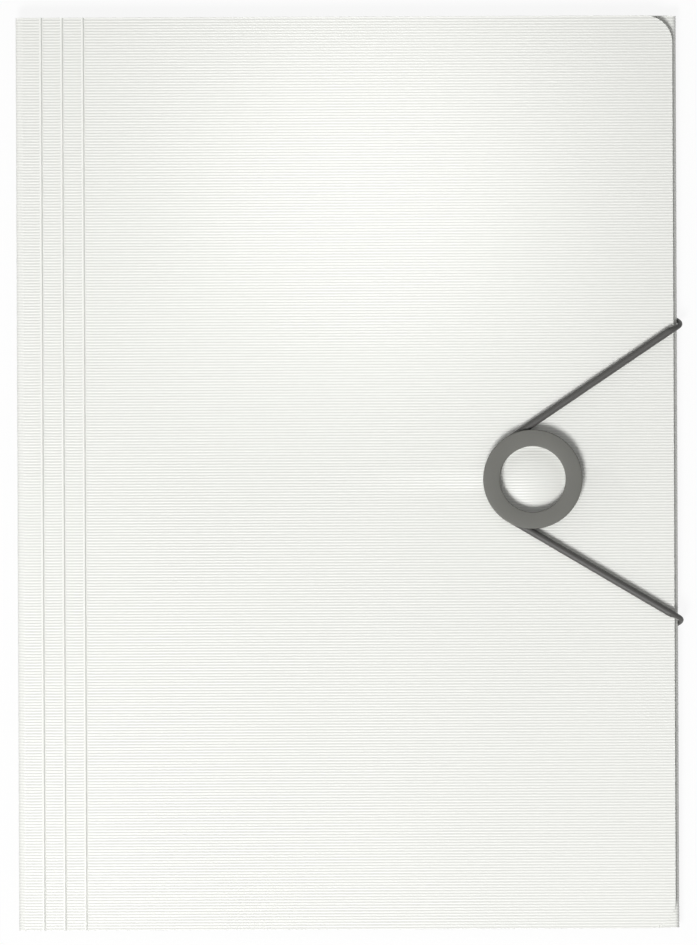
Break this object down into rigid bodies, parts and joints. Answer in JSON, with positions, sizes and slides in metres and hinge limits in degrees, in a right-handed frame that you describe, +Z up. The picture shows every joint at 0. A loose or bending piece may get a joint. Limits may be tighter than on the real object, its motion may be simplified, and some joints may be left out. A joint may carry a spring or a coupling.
{
  "type": "elastic folder",
  "caption": "Three-flap document folder of ribbed plastic sheet with scored expanding spine, grooved closure ring and elastic cord.",
  "frame": {"origin": "middle of the closed folder, on the desk that it lies on", "axes": "+X to the right, from the spine to the opening edge; +Y up the page; +Z up from the desk, out of the front cover"},
  "size_m": [0.2319, 0.318, 0.0123],
  "materials": {
    "ribbed_sheet": "satin, ribbed",
    "ring_plastic": "matt",
    "elastic_textile": "braided",
    "crimp_metal": "plain"
  },
  "bodies": {
    "back": {"back_cover": "ribbed_sheet", "elastic_tail_upper": "elastic_textile", "elastic_tail_lower": "elastic_textile", "elastic_bar_upper": "crimp_metal", "elastic_bar_lower": "crimp_metal"},
    "spine_strip": {"spine_fold": "ribbed_sheet", "spine_strip": "ribbed_sheet"},
    "front_cover": {"spine_crease": "ribbed_sheet", "front_cover": "ribbed_sheet", "closure_ring": "ring_plastic", "ring_backing": "ring_plastic"},
    "side_gusset": {"side_fold": "ribbed_sheet", "side_gusset": "ribbed_sheet"},
    "side_flap": {"side_crease": "ribbed_sheet", "side_flap": "ribbed_sheet"},
    "top_gusset": {"top_fold": "ribbed_sheet", "top_gusset": "ribbed_sheet"},
    "top_flap": {"top_crease": "ribbed_sheet", "top_flap": "ribbed_sheet"},
    "bottom_gusset": {"bottom_fold": "ribbed_sheet", "bottom_gusset": "ribbed_sheet"},
    "bottom_flap": {"bottom_crease": "ribbed_sheet", "bottom_flap": "ribbed_sheet"},
    "elastic_riser": {"elastic_turn_upper": "elastic_textile", "elastic_turn_lower": "elastic_textile", "elastic_riser_upper": "elastic_textile", "elastic_riser_lower": "elastic_textile"},
    "elastic_strand": {"elastic_knee_upper": "elastic_textile", "elastic_knee_lower": "elastic_textile", "elastic_strand_upper": "elastic_textile", "elastic_strand_lower": "elastic_textile"},
    "elastic_loop": {"elastic_loop": "elastic_textile"}
  },
  "joints": [
    {"name": "cover_open_at_fold", "type": "hinge", "parent": "back", "child": "spine_strip", "pos_m": [-0.11235, 0, 0.00525], "axis": [0, -1, 0], "range_deg": [0, 90], "deforming": ["spine_fold"]},
    {"name": "cover_open_at_crease", "type": "hinge", "parent": "spine_strip", "child": "front_cover", "pos_m": [-0.0912, 0, 0.0075], "axis": [0, -1, 0], "range_deg": [0, 90], "deforming": ["spine_crease"]},
    {"name": "side_open_at_fold", "type": "hinge", "parent": "back", "child": "side_gusset", "pos_m": [0.1135, 0, 0.0041], "axis": [0, 1, 0], "range_deg": [0, 90], "deforming": ["side_fold"]},
    {"name": "side_open_at_crease", "type": "hinge", "parent": "side_gusset", "child": "side_flap", "pos_m": [0.0935, 0, 0.0052], "axis": [0, 1, 0], "range_deg": [0, 90], "deforming": ["side_crease"]},
    {"name": "top_open_at_fold", "type": "hinge", "parent": "back", "child": "top_gusset", "pos_m": [0, 0.15805, 0.00355], "axis": [-1, 0, 0], "range_deg": [0, 90], "deforming": ["top_fold"]},
    {"name": "top_open_at_crease", "type": "hinge", "parent": "top_gusset", "child": "top_flap", "pos_m": [0, 0.1386, 0.0041], "axis": [-1, 0, 0], "range_deg": [0, 90], "deforming": ["top_crease"]},
    {"name": "bottom_open_at_fold", "type": "hinge", "parent": "back", "child": "bottom_gusset", "pos_m": [0, -0.15805, 0.00355], "axis": [1, 0, 0], "range_deg": [0, 90], "deforming": ["bottom_fold"]},
    {"name": "bottom_open_at_crease", "type": "hinge", "parent": "bottom_gusset", "child": "bottom_flap", "pos_m": [0, -0.1386, 0.0041], "axis": [1, 0, 0], "range_deg": [0, 90], "deforming": ["bottom_crease"]},
    {"name": "elastic_open_at_edge", "type": "hinge", "parent": "back", "child": "elastic_riser", "pos_m": [0.11225, 0, 0.00535], "axis": [0, 1, 0], "range_deg": [0, 90], "deforming": ["elastic_turn_upper", "elastic_turn_lower", "elastic_riser_upper", "elastic_riser_lower"]},
    {"name": "elastic_open_at_knee", "type": "hinge", "parent": "elastic_riser", "child": "elastic_strand", "pos_m": [0.09335, 0, 0.00535], "axis": [0, 1, 0], "range_deg": [0, 90], "deforming": ["elastic_knee_upper", "elastic_knee_lower", "elastic_strand_upper", "elastic_strand_lower"]},
    {"name": "elastic_unhook", "type": "slide", "parent": "elastic_strand", "child": "elastic_loop", "axis": [-1, 0, 0], "range_m": [0, 0.006], "deforming": ["elastic_loop"]}
  ],
  "couplings": [
    {"joint": "side_open_at_fold", "follows": "cover_open_at_fold", "ratio": 1},
    {"joint": "side_open_at_crease", "follows": "cover_open_at_crease", "ratio": 1},
    {"joint": "top_open_at_fold", "follows": "cover_open_at_fold", "ratio": 1},
    {"joint": "top_open_at_crease", "follows": "cover_open_at_crease", "ratio": 1},
    {"joint": "bottom_open_at_fold", "follows": "cover_open_at_fold", "ratio": 1},
    {"joint": "bottom_open_at_crease", "follows": "cover_open_at_crease", "ratio": 1},
    {"joint": "elastic_open_at_edge", "follows": "cover_open_at_fold", "ratio": 1},
    {"joint": "elastic_open_at_knee", "follows": "cover_open_at_crease", "ratio": 1}
  ]
}
